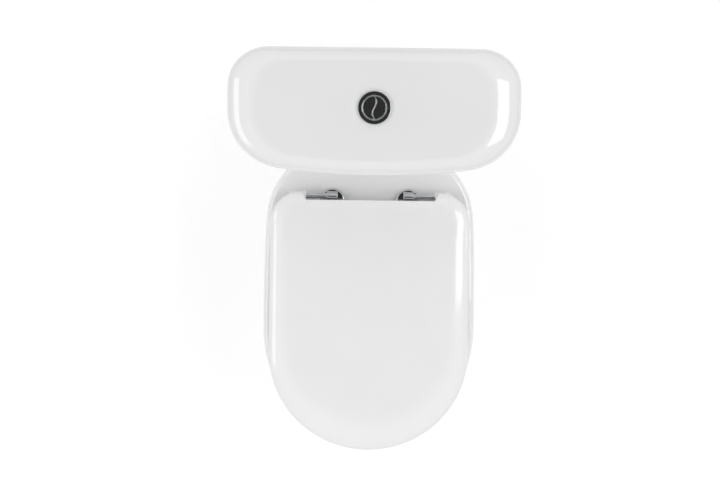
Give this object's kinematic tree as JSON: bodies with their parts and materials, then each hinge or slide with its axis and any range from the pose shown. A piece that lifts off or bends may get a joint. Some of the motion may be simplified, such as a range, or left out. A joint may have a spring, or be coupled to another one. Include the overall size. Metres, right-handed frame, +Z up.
{
  "type": "close coupled toilet",
  "caption": "Close coupled toilet: china pan with a tapered cistern, a round dual flush button, a hinged seat ring and cover, and the flush and fill valves inside.",
  "frame": {"origin": "on the floor under the middle of the overall box", "axes": "+Z up, +Y towards the cistern and the wall, -Y towards the front of the bowl, X across, symmetric about X = 0 outside"},
  "size_m": [0.388, 0.642, 0.7942],
  "materials": {
    "vitreous_china": "white glazed vitreous china, high gloss",
    "white_duroplast": "white moulded duroplast, polished",
    "chrome_plate": "bright chrome plate",
    "black_rubber": "soft black rubber",
    "clear_buffer": "pale soft plastic",
    "stainless_steel": "plain stainless steel",
    "nylon": "natural nylon",
    "valve_plastic": "white moulded plastic",
    "coloured_plastic": "blue moulded plastic"
  },
  "bodies": {
    "root": {"pan": "vitreous_china", "cistern_tank": "vitreous_china", "cistern_gasket": "black_rubber", "tank_bolts": "stainless_steel", "tank_bolt_seals": "black_rubber", "tank_bolt_washers": "stainless_steel", "tank_wing_nuts": "nylon", "flush_valve_body": "valve_plastic", "flush_valve_nut": "nylon", "flush_valve_seal": "black_rubber", "rocker_brackets": "valve_plastic", "rocker_pins": "stainless_steel", "fill_valve_body": "valve_plastic", "fill_valve_cap": "coloured_plastic", "fill_valve_nut": "nylon", "fill_valve_seal": "black_rubber", "float_lever_pin": "stainless_steel", "hinge_base_left": "chrome_plate", "hinge_base_right": "chrome_plate", "hinge_washers": "black_rubber", "hinge_studs": "stainless_steel", "hinge_lower_washers": "nylon", "hinge_wing_nuts": "nylon"},
    "seat": {"seat_ring": "white_duroplast", "seat_buffers": "clear_buffer", "hinge_pins": "chrome_plate"},
    "cover": {"seat_cover": "white_duroplast", "cover_buffers": "clear_buffer"},
    "lid": {"cistern_lid": "vitreous_china", "button_bezel": "chrome_plate", "button_nut": "nylon", "full_flush_spring": "stainless_steel", "half_flush_spring": "stainless_steel"},
    "full_button": {"full_flush_button": "chrome_plate", "full_flush_rod": "coloured_plastic"},
    "half_button": {"half_flush_button": "chrome_plate", "half_flush_rod": "coloured_plastic"},
    "flush_lift": {"flush_tube": "valve_plastic", "flush_seal": "black_rubber"},
    "half_slider": {"half_flush_slider": "coloured_plastic"},
    "full_rocker": {"full_flush_rocker": "coloured_plastic"},
    "half_rocker": {"half_flush_rocker": "coloured_plastic"},
    "float": {"fill_float": "valve_plastic", "float_link": "stainless_steel"},
    "float_arm": {"float_lever": "coloured_plastic"}
  },
  "joints": [
    {"name": "seat_hinge", "type": "hinge", "parent": "root", "child": "seat", "pos_m": [0, 0.1105, 0.418], "axis": [1, 0, 0], "range_deg": [-93, 0]},
    {"name": "cover_hinge", "type": "hinge", "parent": "seat", "child": "cover", "pos_m": [0, 0.1105, 0.418], "axis": [-1, 0, 0], "range_deg": [0, 93]},
    {"name": "lid_lift", "type": "slide", "parent": "root", "child": "lid", "axis": [0, 0, 1], "range_m": [0, 0.15]},
    {"name": "full_press", "type": "slide", "parent": "lid", "child": "full_button", "axis": [0, 0, -1], "range_m": [0, 0.006], "stiffness_N_per_m": 400, "springref_m": -0.003, "deforming": ["full_flush_spring"]},
    {"name": "half_press", "type": "slide", "parent": "lid", "child": "half_button", "axis": [0, 0, -1], "range_m": [0, 0.006], "stiffness_N_per_m": 400, "springref_m": -0.003, "deforming": ["half_flush_spring"]},
    {"name": "full_rocker_turn", "type": "hinge", "parent": "root", "child": "full_rocker", "pos_m": [0.022, 0.2417, 0.7], "axis": [0, -1, 0], "range_deg": [0, 25.5]},
    {"name": "half_rocker_turn", "type": "hinge", "parent": "root", "child": "half_rocker", "pos_m": [-0.022, 0.2417, 0.7], "axis": [0, 1, 0], "range_deg": [0, 25.5]},
    {"name": "valve_lift", "type": "slide", "parent": "root", "child": "flush_lift", "axis": [0, 0, 1], "range_m": [0, 0.0106]},
    {"name": "half_slider_lift", "type": "slide", "parent": "root", "child": "half_slider", "axis": [0, 0, 1], "range_m": [0, 0.0106]},
    {"name": "float_rise", "type": "slide", "parent": "root", "child": "float", "axis": [0, 0, 1], "range_m": [0, 0.012]},
    {"name": "float_lever_turn", "type": "hinge", "parent": "root", "child": "float_arm", "pos_m": [-0.105, 0.2417, 0.694], "axis": [0, -1, 0], "range_deg": [0, 15.6]}
  ],
  "couplings": [
    {"joint": "full_rocker_turn", "follows": "full_press", "rad_per_m": 73.883},
    {"joint": "valve_lift", "follows": "full_press", "ratio": 1.75},
    {"joint": "half_rocker_turn", "follows": "half_press", "rad_per_m": 73.883},
    {"joint": "half_slider_lift", "follows": "half_press", "ratio": 1.75},
    {"joint": "float_lever_turn", "follows": "float_rise", "rad_per_m": 22.5}
  ]
}
